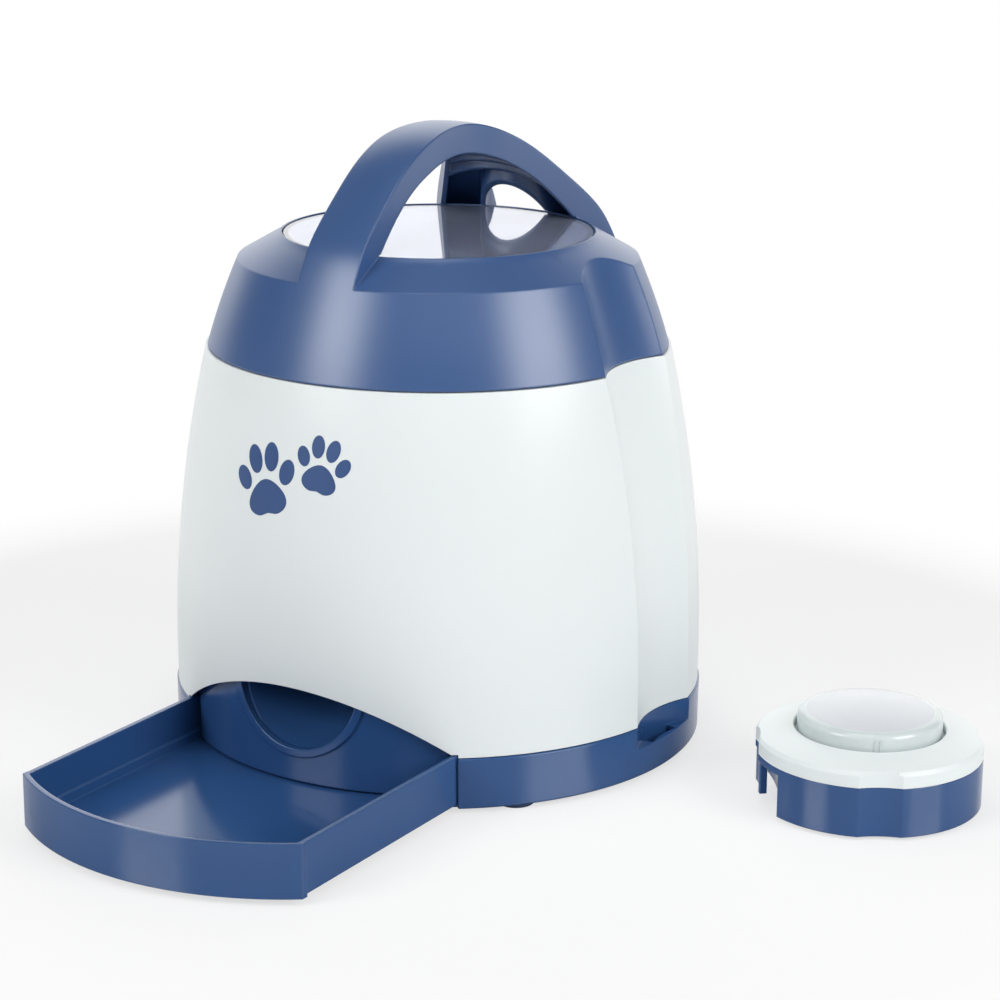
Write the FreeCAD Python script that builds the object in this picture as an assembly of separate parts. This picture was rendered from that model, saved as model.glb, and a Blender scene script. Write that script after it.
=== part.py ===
import FreeCAD, Part
import math
import os

# Treat dispenser with a separate push-button remote.
# Millimetres, +Z up. The floor is z = 0 and the dispenser's upright axis is x = y = 0.
# The drawer opens towards -Y and the docking pocket is on the +X side.

Vector = FreeCAD.Vector
UP = Vector(0, 0, 1)
BACK = Vector(0, 1, 0)

# Heights of the dispenser
foot_height = 2.0
base_top = 23.9
body_top = 173.0
lid_bottom = 173.4
ridge_height = 210.5
rim_height = 221.3
handle_top = 267.0

# Outside form. The base stands a little proud of the body, with a shadow gap between them.
base_radius = 115.7
base_top_radius = 116.0
base_edge = 0.5
shadow_gap = 0.4
body_radius = 115.4
side_arc_start = 41.0
side_arc_radius = 583.0
wall = 2.4

# Screw posts and feet round the base
post_angles = [28.0, 150.0, 210.0, 332.0]
post_circle = 110.2
foot_angles = [-40.0, 40.0, 140.0, 220.0]
foot_circle = 106.0

# Upright hollow on the right, where the docked remote stands. Its axis is upright up to
# side_arc_start and leans in along an arc above that, as the side does.
hollow_radius = 52.0
hollow_axis = 160.0
hollow_arc_radius = 548.0
hollow_arc_angle = 22.0

# Lid and handle
lid_bottom_radius = 99.35
lid_waist_radius = 91.9
lid_waist_height = 196.0
ridge_radius = 86.0
rim_radius = 68.2
window_radius = 66.6
window_thickness = 2.3
window_gap = 0.3
window_opening_radius = 64.2
skirt_radius = 84.7
skirt_bottom = 163.0
skirt_thickness = 1.8
seal_bottom = 165.8
seal_top = 168.2
handle_wall = 2.2
handle_skin = 2.6
crown_points = [(0.0, handle_top), (30.0, 262.3), (45.0, 254.7), (60.0, 242.9), (75.0, 229.0)]
under_points = [(0.0, 254.6), (30.0, 249.6), (45.0, 241.7), (57.0, 231.3), (66.5, 220.6), (76.0, 206.0)]
handle_side = [(12.8, -30.0), (10.3, 0.0), (11.2, 19.0), (22.0, 40.0), (37.5, 60.0), (58.0, 87.5)]
handle_front_half = 13.6
handle_reach = 96.0
fork_end = 55.0
fork_radius = 18.0
fork_spread = 4.0
rib_rows = [15.5, 23.0, 30.5, 38.0, 45.5]
rib_thickness = 1.6

# Drawer and the parts it passes
drawer_half_width = 68.0
drawer_front_overlap = 0.3
drawer_front_bottom = 2.9
drawer_bottom = 4.0
drawer_top = 25.2
drawer_wall = 2.4
drawer_floor = 1.8
drawer_rear = 25.0
drawer_travel = 109.0
drawer_gap = 0.6
drawer_bead = 1.2
drawer_bead_top = 10.0
guard_radius = 111.5
guard_thickness = 2.4
guard_bottom = 6.6
guard_top = 84.5
outlet_height = 50.3
outlet_radius = 29.5
outlet_bead = 3.4

# Arch in the white shell: a round cut seen from the front
arch_radius = 106.9
arch_top = 48.7

# Docking pocket
pocket_floor = 14.5
pocket_wall = 2.2
dock_distance = 154.6
dock_gap = 2.5
tab_inner = 43.0
tab_outer = 46.0
tab_half_angle = 12.0

# Food path
hopper_legs = [(62.0, 22.0), (-62.0, 22.0), (58.0, -48.0), (-58.0, -48.0)]
hopper_floor = 88.0
hopper_radius = 79.0
cone_radius = 30.0
wheel_radius = 78.2
wheel_height = 20.0
wheel_clearance = 0.4
pocket_count = 6
pocket_radius = 16.5
pocket_circle = 56.0
drop_radius = 18.5
chute_wall = 1.8
chute_slope = 15.0
chute_bend = 24.0
chute_mouth = 31.0
shaft_radius = 5.0
shaft_clearance = 0.05
deck_bottom = 26.2
deck_thickness = 2.0

# Gear drive: teeth times module is the pitch diameter
gear_module = 1.0
gear_teeth = 40
pinion_teeth = 12
gear_bottom = 76.0
gear_height = 8.0

# Motor and gearbox, with the motor's two flats facing front and back
motor_radius = 10.2
motor_half_flat = 7.5
gearbox_bottom = 48.0

# Batteries in the base
cell_radius = 13.1
cell_length = 50.0
cell_pitch = 27.5
cell_count = 4
cell_height = 18.3
bay_half_width = 58.0
bay_front = 34.0
bay_rear = 90.0
bay_top = 35.5
bay_wall = 1.8
door_thickness = 1.8

# Remote, modelled about its own axis and then set down beside the dispenser
remote_place = Vector(202.4, 12.8, 0)
remote_turn = 30.0
remote_radius = 46.8
remote_bottom = 1.5
remote_split = 22.2
remote_flange = 19.4
remote_shoulder = 28.4
remote_mouth_height = 32.3
remote_mouth_radius = 30.9
remote_wall = 2.2
recess_depth = 2.0
recess_half_chord = 8.8
remote_posts = [(30.0, 20.0), (30.0, -20.0), (-26.0, 24.0), (-26.0, -24.0)]
button_radius = 29.7
button_rim = 38.2
button_crown = 3.2
button_travel = 2.5


def cylinder(radius, low, high, x=0.0, y=0.0):
    return Part.makeCylinder(radius, high - low, Vector(x, y, low))


def box(x0, x1, y0, y1, z0, z1):
    return Part.makeBox(x1 - x0, y1 - y0, z1 - z0, Vector(x0, y0, z0))


def tube(outer, inner, low, high, x=0.0, y=0.0):
    return cylinder(outer, low, high, x, y).cut(cylinder(inner, low - 1, high + 1, x, y))


def rounded_box(x0, x1, y0, y1, z0, z1, radius):
    block = box(x0, x1, y0, y1, z0, z1)
    upright = [e for e in block.Edges if abs(e.tangentAt(e.FirstParameter).z) > 0.9]
    return block.makeFillet(radius, upright)


def turned_outline(points):
    # A closed outline of (radius, height) corners turned about the upright axis
    corners = [Vector(r, 0, z) for r, z in points]
    face = Part.Face(Part.makePolygon(corners + corners[:1]))
    return face.revolve(Vector(0, 0, 0), UP, 360)


def turned_edges(edges):
    # Edges that run up a wall are closed along the axis and turned about it
    start = edges[0].valueAt(edges[0].FirstParameter)
    end = edges[-1].valueAt(edges[-1].LastParameter)
    foot = Vector(0, 0, start.z)
    head = Vector(0, 0, end.z)
    closing = [Part.makeLine(end, head), Part.makeLine(head, foot)]
    outline = Part.Wire([Part.makeLine(foot, start)] + edges + closing)
    return Part.Face(outline).revolve(Vector(0, 0, 0), UP, 360)


def side_point(height, inset=0.0):
    # The side is upright near the floor and leans in along one large arc above that
    reach = side_arc_radius - inset
    rise = max(height - side_arc_start, 0.0)
    return Vector(body_radius - side_arc_radius + math.sqrt(reach**2 - rise**2), 0, height)


def side_edges(low, high, inset=0.0):
    edges = []
    if low < side_arc_start:
        edges.append(Part.makeLine(side_point(low, inset), side_point(side_arc_start, inset)))
        low = side_arc_start
    middle = (low + high) / 2
    arc = Part.Arc(side_point(low, inset), side_point(middle, inset), side_point(high, inset))
    edges.append(arc.toShape())
    return edges


def lid_side_edge():
    # The lid leans in more than the body, along an arc of its own from its bottom edge to the ridge
    bottom = Vector(lid_bottom_radius, 0, lid_bottom)
    waist = Vector(lid_waist_radius, 0, lid_waist_height)
    return Part.Arc(bottom, waist, Vector(ridge_radius, 0, ridge_height)).toShape()


def hollow_cutter(grow=0.0):
    radius = hollow_radius + grow
    low = -4.0
    disc = Part.Face(Part.Wire(Part.makeCircle(radius, Vector(hollow_axis, 0, side_arc_start))))
    upright = cylinder(radius, low, side_arc_start, hollow_axis)
    pivot = Vector(hollow_axis - hollow_arc_radius, 0, side_arc_start)
    leaning = disc.revolve(pivot, Vector(0, -1, 0), hollow_arc_angle)
    return upright.fuse(leaning)


def half_width(radius, width):
    # Distance from the cross axis at which a circle is as wide as the given half width
    return math.sqrt(radius**2 - width**2)


def around(shape, count, start=0.0):
    step = 360.0 / count
    turned = []
    for i in range(count):
        turned.append(shape.rotated(Vector(0, 0, 0), UP, start + i * step))
    return turned


def at_angles(shape, angles):
    return [shape.rotated(Vector(0, 0, 0), UP, angle) for angle in angles]


def make_base_housing():
    lip = 0.8
    outer = turned_outline([(0, foot_height), (base_radius - lip, foot_height), (base_radius, foot_height + lip),
                            (base_top_radius, base_top - base_edge), (base_top_radius - base_edge, base_top),
                            (0, base_top)])
    floor_top = foot_height + 1.6
    inner_radius = base_top_radius - wall
    ring = outer.cut(cylinder(inner_radius, floor_top, base_top + 1))

    # Docking pocket: a curved wall, a ledge and the slot for the remote's tab
    centre = hollow_axis
    pocket = outer.common(cylinder(hollow_radius + pocket_wall, foot_height, base_top, centre))
    base = ring.fuse(pocket)
    base = base.cut(cylinder(hollow_radius, pocket_floor, base_top + 1, centre))
    under = cylinder(hollow_radius, floor_top, pocket_floor - 2.0, centre)
    base = base.cut(under.common(cylinder(inner_radius - 0.4, floor_top, pocket_floor)))
    slot = tube(tab_outer + 6, tab_inner - 1.2, pocket_floor - 3, pocket_floor + 1)
    wedge = Part.makeCylinder(60, 6, Vector(0, 0, pocket_floor - 4), UP, 2 * tab_half_angle + 4)
    wedge.rotate(Vector(0, 0, 0), UP, 180 - tab_half_angle - 2)
    slot = slot.common(wedge)
    slot.translate(Vector(dock_distance, 0, 0))
    base = base.cut(slot.common(cylinder(hollow_radius, pocket_floor - 3, pocket_floor + 1, centre)))

    # Drawer bay with guide walls and a stop at the rear
    bay_half = drawer_half_width + drawer_gap
    guide = 2.0
    mouth = half_width(base_radius, bay_half)
    base = base.cut(box(-bay_half, bay_half, -base_radius - 1, -mouth + 12, floor_top, base_top + 1))
    front_edge = tube(base_radius + 2, base_radius - wall - 0.5, foot_height - 1, floor_top + 1)
    base = base.cut(front_edge.common(box(-bay_half, bay_half, -base_radius - 3, -60, 0, base_top)))
    for side in (-1, 1):
        x0 = min(side * bay_half, side * (bay_half + guide))
        rail = box(x0, x0 + guide, -mouth, bay_front - guide, foot_height, deck_bottom)
        within = cylinder(inner_radius + 1, foot_height, base_top)
        within = within.fuse(cylinder(body_radius - wall - 0.3, base_top, deck_bottom))
        base = base.fuse(rail.common(within))
    stop = box(-bay_half - guide, bay_half + guide, bay_front - 2 * guide, bay_front - guide,
               foot_height, deck_bottom)
    base = base.fuse(stop)

    # Battery bay, open below for the door
    bay = box(-bay_half_width, bay_half_width, bay_front, bay_rear, foot_height, bay_top)
    room = box(-bay_half_width + bay_wall, bay_half_width - bay_wall, bay_front + bay_wall,
               bay_rear - bay_wall, foot_height - 1, bay_top - bay_wall)
    base = base.fuse(bay).cut(room)
    tongue = box(-9, 9, bay_rear - bay_wall - 1, bay_rear + 8.3, foot_height - 1, foot_height + 2.1)
    ledge = box(-12, 12, bay_rear - 1, bay_rear + 11, foot_height, foot_height + 9)
    base = base.fuse(ledge).cut(tongue)
    base = base.cut(cylinder(1.25, foot_height, foot_height + 8, 0, bay_rear + 4))

    # Screw posts, seats for the feet and the switch window
    post = cylinder(4.6, foot_height, base_top, post_circle)
    bore = cylinder(1.7, foot_height - 1, base_top + 1, post_circle)
    counterbore = cylinder(3.2, foot_height - 1, base_top - 6, post_circle)
    inside = cylinder(base_top_radius - 1, foot_height, base_top)
    for angle in post_angles:
        turn = (Vector(0, 0, 0), UP, angle)
        base = base.fuse(post.rotated(*turn).common(inside))
        base = base.cut(bore.rotated(*turn)).cut(counterbore.rotated(*turn))
    seat = cylinder(8.1, foot_height - 1, foot_height + 0.6, foot_circle)
    for shape in at_angles(seat, foot_angles):
        base = base.cut(shape)
    base = base.cut(box(-8, 8, base_radius - 8, base_radius + 2, 9, 17))
    return base.removeSplitter()


def make_body_shell():
    low = base_top + shadow_gap
    outer = turned_edges(side_edges(low, body_top)).cut(hollow_cutter())
    # The inside is drawn in straight stretches, within a quarter of a millimetre of the wall's thickness
    heights = [base_top - 1, side_arc_start, 85.0, 129.0, body_top + 1]
    corners = [side_point(z, wall - 0.2) for z in heights]
    inner = turned_outline([(0, heights[0])] + [(c.x, c.z) for c in corners] + [(0, heights[-1])])
    shell = outer.cut(inner.cut(hollow_cutter(wall)))
    arch = Part.makeCylinder(arch_radius, 60, Vector(0, -body_radius - 14, arch_top - arch_radius), BACK)
    shell = shell.cut(arch)
    passage = drawer_half_width + drawer_gap
    shell = shell.cut(box(-passage, passage, -body_radius - 2, -60, base_top, drawer_top + 0.5))

    # Ledge under the hopper's flange, broken where the hollow passes
    ledge = turned_edges(side_edges(168.8, 171.2, wall - 0.2)).cut(cylinder(91.5, 168, 172))
    shell = shell.fuse(ledge.cut(box(80, 120, -32, 32, 168, 172)))

    post = cylinder(4.4, base_top, 42, post_circle)
    pilot = cylinder(1.3, base_top - 1, 38, post_circle)
    inside = turned_edges(side_edges(base_top, 43, wall / 2))
    post = post.common(inside)
    for angle in post_angles:
        turn = (Vector(0, 0, 0), UP, angle)
        shell = shell.fuse(post.rotated(*turn)).cut(pilot.rotated(*turn))
    return shell.removeSplitter()


def crown_solid(points, foot, final_slope):
    # A dome under a smooth curve from the axis out to its foot
    knots = [Vector(r, 0, z) for r, z in points] + [Vector(foot[0], 0, foot[1])]
    curve = Part.BSplineCurve()
    curve.interpolate(Points=knots, InitialTangent=Vector(1, 0, 0), FinalTangent=final_slope)
    low = 202.0
    corner = Vector(foot[0], 0, low)
    edges = [curve.toShape(), Part.makeLine(knots[-1], corner), Part.makeLine(corner, Vector(0, 0, low)),
             Part.makeLine(Vector(0, 0, low), knots[0])]
    return Part.Face(Part.Wire(edges)).revolve(Vector(0, 0, 0), UP, 360)


def inset_side(depth):
    # The handle's side curve moved towards its middle, along its normals
    moved = []
    for i, (x, y) in enumerate(handle_side):
        before = handle_side[max(i - 1, 0)]
        after = handle_side[min(i + 1, len(handle_side) - 1)]
        dx = after[0] - before[0]
        dy = after[1] - before[1]
        length = math.hypot(dx, dy)
        moved.append(Vector(x - depth * dy / length, y + depth * dx / length, 0))
    return moved


def handle_outline(depth=0.0):
    # Plan of the handle: one arm at the front that forks into two rear legs
    points = inset_side(depth)
    curve = Part.BSplineCurve()
    curve.interpolate(Points=points)
    front = Vector(handle_front_half - depth, -handle_reach, 0)
    tail = points[-1]
    outer_tail = Vector(tail.x, tail.y + 6, 0)
    radius = fork_radius + depth
    bend = fork_end + fork_radius
    inner_tail = Vector(radius + fork_spread, outer_tail.y, 0)
    corner = Vector(radius * math.sin(math.radians(45)), bend - radius * math.cos(math.radians(45)), 0)
    half = [Part.makeLine(Vector(0, -handle_reach, 0), front), Part.makeLine(front, points[0]),
            curve.toShape(), Part.makeLine(tail, outer_tail), Part.makeLine(outer_tail, inner_tail),
            Part.makeLine(inner_tail, Vector(radius, bend, 0)),
            Part.Arc(Vector(radius, bend, 0), corner, Vector(0, bend - radius, 0)).toShape()]
    mirrored = [e.mirror(Vector(0, 0, 0), Vector(1, 0, 0)) for e in half]
    return Part.Wire(Part.__sortEdges__(half + mirrored))


def inset_points(points, depth):
    # The same curve moved inwards along its normals
    moved = []
    for i, (r, z) in enumerate(points):
        before = points[max(i - 1, 0)]
        after = points[min(i + 1, len(points) - 1)]
        dr = after[0] - before[0]
        dz = after[1] - before[1]
        length = math.hypot(dr, dz)
        if i == 0:
            moved.append((0.0, z - depth))
        else:
            moved.append((r + depth * dz / length, z - depth * dr / length))
    return moved


def make_handle():
    low = 203.0
    high = handle_top + 5
    side = lid_side_edge()
    lean = side.tangentAt(side.LastParameter) * -1
    outer = crown_solid(crown_points, (ridge_radius, ridge_height), lean)
    under = crown_solid(under_points[:-1], under_points[-1], Vector(0.6, 0, -1))
    shell = outer.cut(under)
    plan = handle_outline()
    arms = Part.Face(plan).extrude(Vector(0, 0, high - low))
    arms.translate(Vector(0, 0, low))
    handle = shell.common(arms)

    # Channel on the underside, with cross ribs between the walls
    skin_points = inset_points(crown_points + [(ridge_radius, ridge_height)], handle_skin)
    skin = crown_solid(skin_points[:-1], skin_points[-1], lean)
    channel = Part.Face(handle_outline(handle_wall)).extrude(Vector(0, 0, high - low))
    channel.translate(Vector(0, 0, low))
    channel = channel.common(skin)
    for row in rib_rows:
        channel = channel.cut(box(-60, 60, row - rib_thickness / 2, row + rib_thickness / 2, low, high))
    return handle.cut(channel)


def make_lid():
    rim_edge = 0.6
    ridge = Vector(ridge_radius, 0, ridge_height)
    rim_outside = Vector(rim_radius, 0, rim_height - rim_edge)
    crest = Vector(rim_radius - rim_edge, 0, rim_height)
    lid = turned_edges([lid_side_edge(), Part.makeLine(ridge, rim_outside), Part.makeLine(rim_outside, crest)])
    lid = lid.cut(hollow_cutter()).fuse(make_handle())

    # The cavity follows the outside one wall further in, up to the underside of the window's seat
    ceiling = window_seat() - 2.2
    low = lid_bottom - 1
    cavity = turned_outline([(0, low), (lid_bottom_radius - wall, low), (lid_waist_radius - wall, lid_waist_height),
                             (ridge_radius - wall, ridge_height - 2), (rim_radius + 0.4, ceiling), (0, ceiling)])
    lid = lid.cut(cavity.cut(hollow_cutter(wall)))
    above = rim_height + 0.5
    lid = lid.cut(cylinder(window_opening_radius, ceiling - 1, above))
    lid = lid.cut(cylinder(window_radius + window_gap, window_seat(), above))

    # Underside plate and the skirt that drops into the hopper
    plate_top = lid_bottom + 2.0
    plate = cylinder(lid_bottom_radius - 1.4, lid_bottom, plate_top).cut(hollow_cutter(0.6))
    plate = plate.cut(cylinder(skirt_radius - skirt_thickness, lid_bottom - 1, plate_top + 1))
    skirt = tube(skirt_radius, skirt_radius - skirt_thickness, skirt_bottom, plate_top)
    groove = tube(skirt_radius + 1, skirt_radius - 0.8, seal_bottom, seal_top)
    return lid.fuse(plate).fuse(skirt.cut(groove)).removeSplitter()


def window_seat():
    return rim_height - 0.4 - window_thickness


def make_lid_window():
    low = window_seat()
    disc = cylinder(window_radius, low, low + window_thickness)
    edge = [e for e in disc.Edges if abs(e.BoundBox.ZMin - (low + window_thickness)) < 0.01]
    return disc.makeChamfer(0.4, edge)


def make_lid_seal():
    return tube(skirt_radius + 0.6, skirt_radius - 0.8, seal_bottom, seal_top)


def make_food_hopper():
    skin = 1.8
    mouth = 85.9
    knee_low = 116.0
    knee_high = 142.0
    inner = turned_outline([(0, hopper_floor), (hopper_radius, hopper_floor), (hopper_radius, knee_low),
                            (mouth - 0.2, knee_high), (mouth, lid_bottom + 1), (0, lid_bottom + 1)])
    outer = turned_outline([(0, hopper_floor - skin), (hopper_radius + skin, hopper_floor - skin),
                            (hopper_radius + skin, knee_low - 0.2), (mouth - 0.2 + skin, knee_high - 0.2),
                            (mouth + skin, lid_bottom), (0, lid_bottom)])
    flange = turned_edges(side_edges(171.2, lid_bottom, wall + 0.5)).cut(hollow_cutter(wall + 0.5))
    hopper = outer.fuse(flange).cut(inner)
    hopper = hopper.cut(cylinder(drop_radius, hopper_floor - 4, hopper_floor + 1, 0, -pocket_circle))
    hopper = hopper.cut(cylinder(shaft_radius + shaft_clearance, hopper_floor - 4, hopper_floor + 1))
    for x, y in hopper_legs:
        hopper = hopper.fuse(cylinder(4.0, deck_bottom + deck_thickness, hopper_floor - skin, x, y))
    return hopper.removeSplitter()


def make_hopper_baffle():
    # A roof over the outlet pocket, so only the portion in that pocket can fall
    low = hopper_floor + wheel_clearance + wheel_height + 0.8
    inner = cone_radius + 1.5
    half_angle = 28.0
    sector = Part.makeCylinder(hopper_radius, 2.0, Vector(0, 0, low), UP, 2 * half_angle)
    sector.rotate(Vector(0, 0, 0), UP, 270 - half_angle)
    sector = sector.cut(cylinder(inner, low - 1, low + 3))
    roof = Part.makePolygon([Vector(-11, 0, low + 1.5), Vector(11, 0, low + 1.5), Vector(0, 0, low + 9),
                             Vector(-11, 0, low + 1.5)])
    rib = Part.Face(roof).extrude(Vector(0, inner + 4 - hopper_radius + 2, 0))
    rib.translate(Vector(0, -inner - 4, 0))
    return sector.fuse(rib).removeSplitter()


def make_portion_wheel():
    # Moulded wheel, open below: a top plate, a rim, a hub and one sleeve per pocket
    low = hopper_floor + wheel_clearance
    high = low + wheel_height
    sleeve = cylinder(pocket_radius + 1.8, low, high, 0, -pocket_circle)
    hole = cylinder(pocket_radius, low - 1, high + 1, 0, -pocket_circle)
    wheel = tube(wheel_radius, wheel_radius - 2.0, low, high)
    wheel = wheel.fuse(cylinder(wheel_radius, high - 2.0, high)).fuse(cylinder(9.0, low, high))
    for shape in around(sleeve, pocket_count):
        wheel = wheel.fuse(shape.common(cylinder(wheel_radius, low, high)))
    # Raised cone that turns food outwards into the pockets
    wheel = wheel.fuse(Part.makeCone(cone_radius, 6, 12, Vector(0, 0, high)))
    for shape in around(hole, pocket_count):
        wheel = wheel.cut(shape)
    return wheel.cut(cylinder(shaft_radius + shaft_clearance, low - 1, low + 14)).removeSplitter()


def make_wheel_shaft():
    return cylinder(shaft_radius, gear_bottom - 3, hopper_floor + 14)


def toothed_disc(teeth, low, high):
    # Straight-flanked teeth, close to the rolling form at this size
    pitch = gear_module * teeth / 2
    tip = pitch + gear_module
    root = pitch - 1.25 * gear_module
    step = 2 * math.pi / teeth
    corners = []
    for i in range(teeth):
        middle = i * step
        for radius, share in ((root, -0.33), (tip, -0.12), (tip, 0.12), (root, 0.33)):
            angle = middle + share * step
            corners.append(Vector(radius * math.cos(angle), radius * math.sin(angle), low))
    face = Part.Face(Part.makePolygon(corners + corners[:1]))
    return face.extrude(Vector(0, 0, high - low))


def make_drive_gear():
    gear = toothed_disc(gear_teeth, gear_bottom, gear_bottom + gear_height)
    gear = gear.cut(tube(16, 8.5, gear_bottom - 1, gear_bottom + 2.5))
    gear = gear.cut(tube(16, 8.5, gear_bottom + gear_height - 2.5, gear_bottom + gear_height + 1))
    return gear.cut(cylinder(shaft_radius + shaft_clearance, gear_bottom - 1, gear_bottom + gear_height + 1))


def pinion_centre():
    return gear_module * (gear_teeth + pinion_teeth) / 2 + 0.15


def make_drive_pinion():
    pinion = toothed_disc(pinion_teeth, gear_bottom - 0.5, gear_bottom + gear_height + 0.5)
    half_tooth = 180.0 / pinion_teeth
    # A tooth of the gear points at the pinion, which turns a gap towards it
    pinion.rotate(Vector(0, 0, 0), UP, 270 + half_tooth)
    pinion = pinion.fuse(cylinder(2.0, gear_bottom - 12, gear_bottom))
    pinion.translate(Vector(0, pinion_centre(), 0))
    return pinion


def make_gearbox_case():
    y = pinion_centre()
    top = gear_bottom - 4
    case = rounded_box(-19, 19, y - 12, y + 16, gearbox_bottom, top, 4)
    boss = cylinder(6, top, top + 2, 0, y)
    case = case.fuse(boss)
    for side in (-1, 1):
        case = case.fuse(box(min(side * 18, side * 28), max(side * 18, side * 28), y - 5, y + 5, 58, 60.5))
    return case.cut(cylinder(2.0 + shaft_clearance, gear_bottom - 13, top + 3, 0, y)).removeSplitter()


def make_motor_can():
    y = pinion_centre()
    low = deck_bottom + deck_thickness + 1.5
    can = cylinder(motor_radius, low, gearbox_bottom, 0, y)
    can = can.common(box(-20, 20, y - motor_half_flat, y + motor_half_flat, low, gearbox_bottom))
    return can.fuse(cylinder(3.0, low - 1.5, low, 0, y))


def make_mechanism_deck():
    top = deck_bottom + deck_thickness
    y = pinion_centre()
    edge = guard_radius - guard_thickness
    deck = cylinder(edge, deck_bottom, top).common(box(-72.5, 72.5, -edge, bay_front - 2.0, 0, 40))
    deck = deck.cut(box(-26, 26, -edge - 1, -76, deck_bottom - 1, top + 1))
    for side in (-1, 1):
        post = box(min(side * 22, side * 28), max(side * 22, side * 28), y - 5, y + 5, top, 58)
        deck = deck.fuse(post)
    return deck.removeSplitter()


def make_guard_wall():
    centre = Vector(0, -guard_radius - 10, outlet_height)
    bead = Part.makeCylinder(outlet_radius + outlet_bead, 60, centre, BACK)
    bead = bead.common(tube(guard_radius + 0.9, guard_radius - 1, guard_bottom, guard_top))
    sheet = tube(guard_radius, guard_radius - guard_thickness, guard_bottom, guard_top)
    narrow = drawer_half_width - drawer_wall - drawer_bead - 1.2
    lower = box(-narrow, narrow, -guard_radius - 3, -60, guard_bottom - 1, deck_bottom)
    upper = box(-72, 72, -guard_radius - 3, -60, deck_bottom, guard_top + 4)
    guard = sheet.fuse(bead).common(lower.fuse(upper))
    guard = guard.common(turned_edges(side_edges(guard_bottom, guard_top + 1, wall + 0.3)))
    return guard.cut(Part.makeCylinder(outlet_radius, 60, centre, BACK)).removeSplitter()


def chute_solid(grow):
    # Straight drop, quarter bend and a cone that slopes down to the outlet
    radius = drop_radius + grow
    slope = math.radians(chute_slope)
    bend_y = -pocket_circle - chute_bend
    end_y = bend_y + chute_bend * math.sin(slope)
    run = guard_radius + 6 + end_y
    bend_z = outlet_height + chute_bend * math.cos(slope) + (run - 6) * math.tan(slope)
    drop = cylinder(radius, bend_z, hopper_floor + 1, 0, -pocket_circle)
    disc = Part.Face(Part.Wire(Part.makeCircle(radius, Vector(0, -pocket_circle, bend_z))))
    elbow = disc.revolve(Vector(0, bend_y, bend_z), Vector(-1, 0, 0), 90 - chute_slope)
    start = Vector(0, end_y, bend_z - chute_bend * math.cos(slope))
    along = Vector(0, -math.cos(slope), -math.sin(slope))
    cone = Part.makeCone(radius, chute_mouth + grow, run / math.cos(slope), start, along)
    return drop.fuse(elbow).fuse(cone)


def make_drop_chute():
    chute = chute_solid(chute_wall).cut(chute_solid(0))
    return chute.common(cylinder(guard_radius - guard_thickness, 0, hopper_floor - 1.8)).removeSplitter()


def drawer_plan(inset, low, high):
    block = box(-drawer_half_width + inset, drawer_half_width - inset, -base_radius,
                drawer_rear - inset, low, high)
    return block.common(cylinder(base_radius - inset, low, high))


def make_treat_drawer():
    inside_low = drawer_bottom + drawer_floor
    drawer = drawer_plan(0, drawer_bottom, drawer_top)
    room = drawer_plan(drawer_wall, drawer_bead_top, drawer_top + 1)
    well = drawer_plan(drawer_wall, inside_low, drawer_bead_top + 1)
    narrow = box(-drawer_half_width + drawer_wall + drawer_bead, drawer_half_width - drawer_wall - drawer_bead,
                 -150, 60, inside_low, drawer_bead_top + 1)
    drawer = drawer.cut(room).cut(well.common(narrow))

    # The front stands proud of the sides and reaches lower, so that it covers the bay's mouth
    front = tube(base_radius, base_radius - drawer_wall, drawer_front_bottom, drawer_top)
    half = drawer_half_width + drawer_front_overlap
    drawer = drawer.fuse(front.common(box(-half, half, -base_radius - 1, -60, 0, drawer_top))).removeSplitter()
    drawer.translate(Vector(0, -drawer_travel, 0))
    return drawer


def make_rubber_feet():
    foot = cylinder(8.0, 0, foot_height + 0.6, foot_circle)
    edge = [e for e in foot.Edges if e.BoundBox.ZMax < 0.01]
    foot = foot.makeChamfer(0.5, edge)
    return Part.makeCompound(at_angles(foot, foot_angles))


def make_base_screws():
    head_low = base_top - 6 - 2.2
    head = cylinder(2.9, head_low, base_top - 6, post_circle)
    shank = cylinder(1.25, base_top - 6, 36, post_circle)
    slot = box(post_circle - 2, post_circle + 2, -0.4, 0.4, head_low - 1, head_low + 1)
    screw = head.fuse(shank).cut(slot)
    return Part.makeCompound(at_angles(screw, post_angles))


def cell_places(count, pitch):
    return [(i - (count - 1) / 2) * pitch for i in range(count)]


def lying_cell(radius, length, x, y, z):
    body = Part.makeCylinder(radius, length - 1.5, Vector(x, y, z), BACK)
    nub = Part.makeCylinder(radius * 0.28, 1.5, Vector(x, y + length - 1.5, z), BACK)
    return body.fuse(nub)


def make_battery_cells():
    start = bay_front + bay_wall + 1.2
    cells = []
    for i, x in enumerate(cell_places(cell_count, cell_pitch)):
        cell = lying_cell(cell_radius, cell_length, x, start, cell_height)
        if i % 2:
            cell.rotate(Vector(x, start + cell_length / 2, cell_height), UP, 180)
        cells.append(cell)
    return Part.makeCompound(cells)


def make_battery_contacts():
    plates = []
    places = cell_places(cell_count, cell_pitch)
    front = bay_front + bay_wall
    rear = bay_rear - bay_wall
    for x in places:
        plates.append(box(x - 7, x + 7, front, front + 0.6, cell_height - 8, cell_height + 8))
    for first in (0, 2):
        x = (places[first] + places[first + 1]) / 2
        plates.append(box(x - 20, x + 20, rear - 0.6, rear, cell_height - 8, cell_height + 8))
    return Part.makeCompound(plates)


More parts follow.
